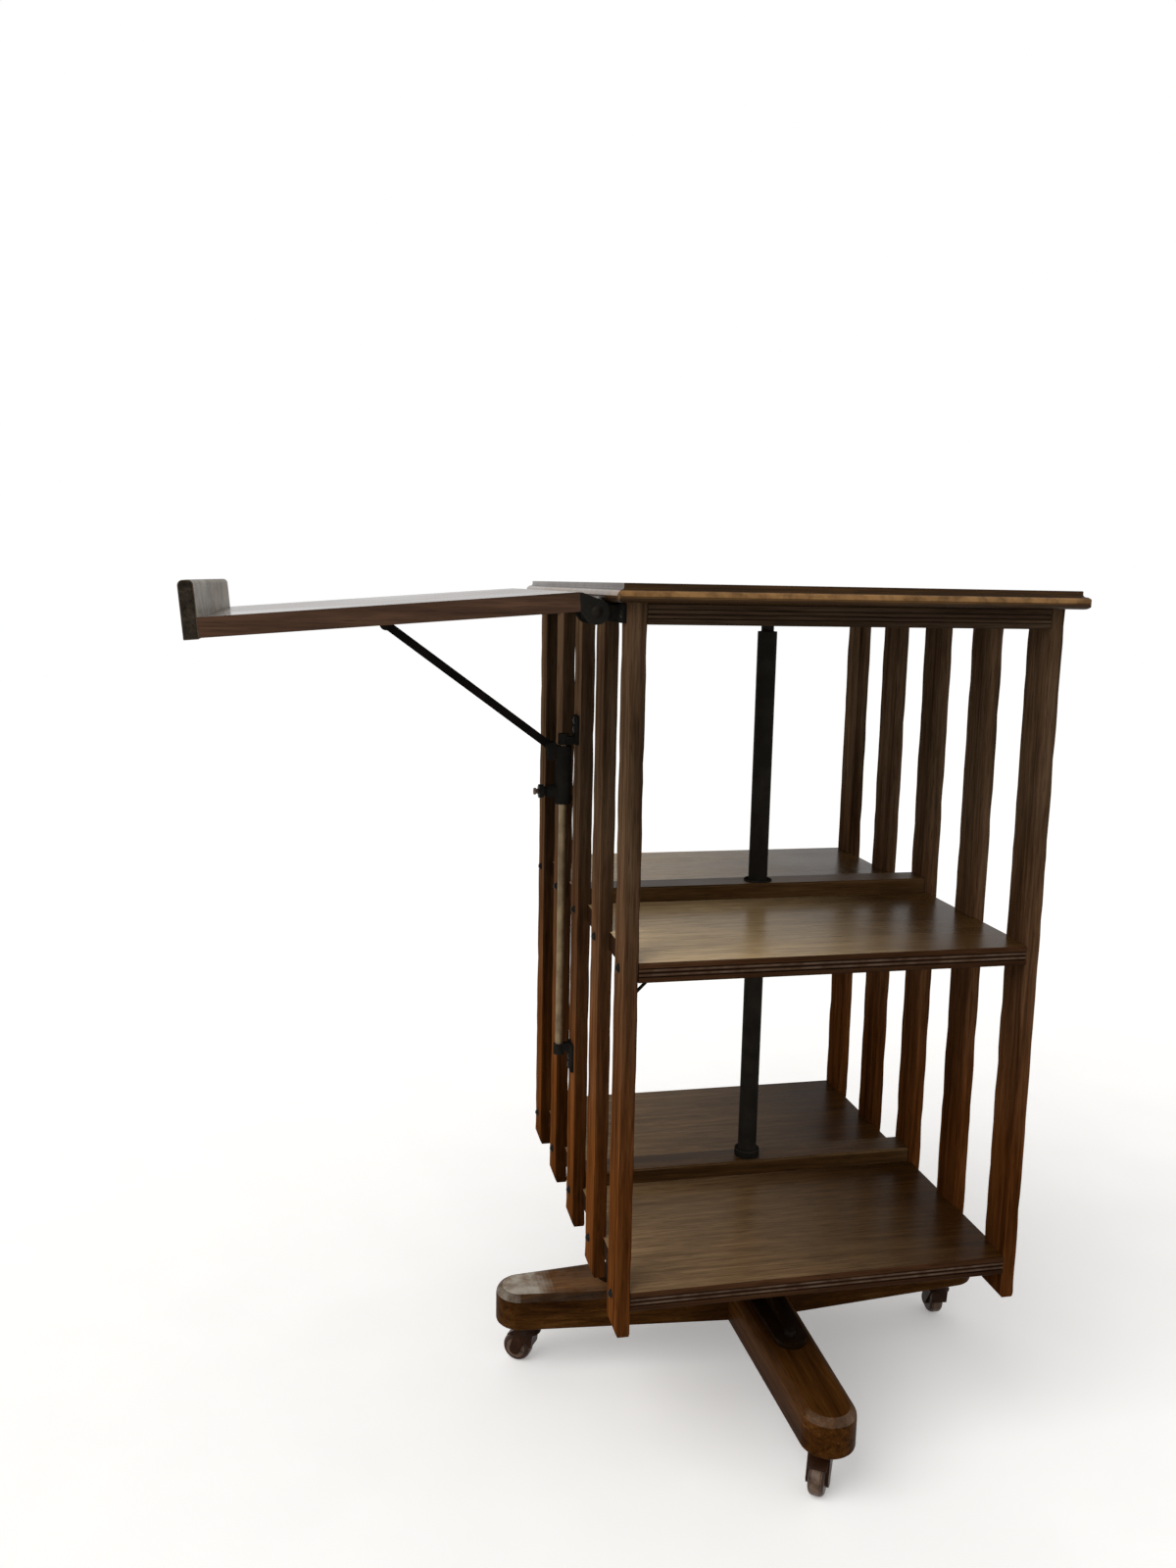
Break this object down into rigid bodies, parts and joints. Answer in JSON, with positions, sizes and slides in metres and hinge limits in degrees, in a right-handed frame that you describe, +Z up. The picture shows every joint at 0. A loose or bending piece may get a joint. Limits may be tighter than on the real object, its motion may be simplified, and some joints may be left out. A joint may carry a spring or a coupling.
{
  "type": "revolving bookcase",
  "caption": "Two-tier oak revolving bookcase on an iron pole and crossed caster base, with slatted sides and a folding book rest on a sliding stay.",
  "frame": {"origin": "middle of the whole object's footprint on the floor, with the book rest raised; the pole stands 142.3 mm along +X from it", "axes": "+Z up; +X to the right of the case's open front, away from the book rest; -Y out of the open front"},
  "size_m": [0.8366, 0.552, 0.837],
  "materials": {
    "oak": "varnished",
    "dark_oak": "varnished",
    "black_iron": "satin",
    "worn_steel": "worn",
    "caster_wheel": "gloss"
  },
  "bodies": {
    "base": {"base_arm_side": "oak", "base_arm_front": "oak", "pole_spider": "black_iron", "spider_bolts": "worn_steel", "pole": "black_iron", "pole_nut": "black_iron", "caster_plate_front": "black_iron", "caster_plate_right": "black_iron", "caster_plate_back": "black_iron", "caster_plate_left": "black_iron"},
    "case": {"top_board": "oak", "sub_top": "dark_oak", "middle_shelf": "oak", "bottom_shelf": "oak", "middle_strip": "oak", "bottom_strip": "oak", "slat_left_1": "dark_oak", "slat_left_2": "dark_oak", "slat_left_3": "dark_oak", "slat_left_4": "dark_oak", "slat_left_5": "dark_oak", "slat_right_1": "dark_oak", "slat_right_2": "dark_oak", "slat_right_3": "dark_oak", "slat_right_4": "dark_oak", "slat_right_5": "dark_oak", "slat_screws": "black_iron", "top_screws": "black_iron", "pivot_socket": "black_iron", "pole_ring": "black_iron", "guide_bush": "black_iron", "corner_brace": "black_iron", "hinge_bracket_front": "black_iron", "hinge_bracket_back": "black_iron", "guide_rod": "worn_steel", "rod_bracket_upper": "black_iron", "rod_bracket_lower": "black_iron", "fixing_screws": "black_iron"},
    "book_rest": {"rest_board": "oak", "rest_ledge": "dark_oak", "hinge_leaf_front": "black_iron", "hinge_leaf_back": "black_iron", "hinge_pins": "worn_steel", "stay_lug": "black_iron", "stay_pin": "black_iron", "rest_screws": "black_iron"},
    "stay": {"stay": "black_iron"},
    "collar": {"collar": "black_iron"},
    "thumbscrew": {"thumbscrew": "black_iron"},
    "caster_front": {"caster_fork_front": "black_iron"},
    "wheel_front": {"caster_wheel_front": "caster_wheel"},
    "caster_right": {"caster_fork_right": "black_iron"},
    "wheel_right": {"caster_wheel_right": "caster_wheel"},
    "caster_back": {"caster_fork_back": "black_iron"},
    "wheel_back": {"caster_wheel_back": "caster_wheel"},
    "caster_left": {"caster_fork_left": "black_iron"},
    "wheel_left": {"caster_wheel_left": "caster_wheel"}
  },
  "joints": [
    {"name": "case_turn", "type": "hinge", "parent": "base", "child": "case", "pos_m": [0.14229, 0, 0.803], "axis": [0, 0, 1], "continuous": true},
    {"name": "rest_fold", "type": "hinge", "parent": "case", "child": "book_rest", "pos_m": [-0.07841, 0, 0.8123], "axis": [0, -1, 0], "range_deg": [0, 84]},
    {"name": "stay_swing", "type": "hinge", "parent": "book_rest", "child": "stay", "pos_m": [-0.2457, 0, 0.79302], "axis": [0, -1, 0], "range_deg": [-138.71, 0]},
    {"name": "collar_slide", "type": "slide", "parent": "case", "child": "collar", "axis": [0, 0, 1], "range_m": [-0.23241, 0]},
    {"name": "thumbscrew_turn", "type": "hinge", "parent": "collar", "child": "thumbscrew", "pos_m": [-0.08671, 0, 0.62736], "axis": [-1, 0, 0], "range_deg": [0, 180]},
    {"name": "caster_front_swivel", "type": "hinge", "parent": "base", "child": "caster_front", "pos_m": [0.14229, -0.24, 0.051], "axis": [0, 0, 1], "continuous": true},
    {"name": "wheel_front_roll", "type": "hinge", "parent": "caster_front", "child": "wheel_front", "pos_m": [0.1353, -0.25036, 0.0155], "axis": [0.829, -0.5592, 0], "continuous": true},
    {"name": "caster_right_swivel", "type": "hinge", "parent": "base", "child": "caster_right", "pos_m": [0.38229, 0, 0.051], "axis": [0, 0, 1], "continuous": true},
    {"name": "wheel_right_roll", "type": "hinge", "parent": "caster_right", "child": "wheel_right", "pos_m": [0.38316, 0.01247, 0.0155], "axis": [-0.9976, 0.0698, 0], "continuous": true},
    {"name": "caster_back_swivel", "type": "hinge", "parent": "base", "child": "caster_back", "pos_m": [0.14229, 0.24, 0.051], "axis": [0, 0, 1], "continuous": true},
    {"name": "wheel_back_roll", "type": "hinge", "parent": "caster_back", "child": "wheel_back", "pos_m": [0.13054, 0.23572, 0.0155], "axis": [0.342, -0.9397, 0], "continuous": true},
    {"name": "caster_left_swivel", "type": "hinge", "parent": "base", "child": "caster_left", "pos_m": [-0.09771, 0, 0.051], "axis": [0, 0, 1], "continuous": true},
    {"name": "wheel_left_roll", "type": "hinge", "parent": "caster_left", "child": "wheel_left", "pos_m": [-0.10831, 0.00662, 0.0155], "axis": [-0.5299, -0.848, 0], "continuous": true}
  ],
  "couplings": [
    {"joint": "collar_slide", "follows": "rest_fold", "m_per_rad": -0.15852},
    {"joint": "stay_swing", "follows": "rest_fold", "ratio": -1.6513}
  ]
}
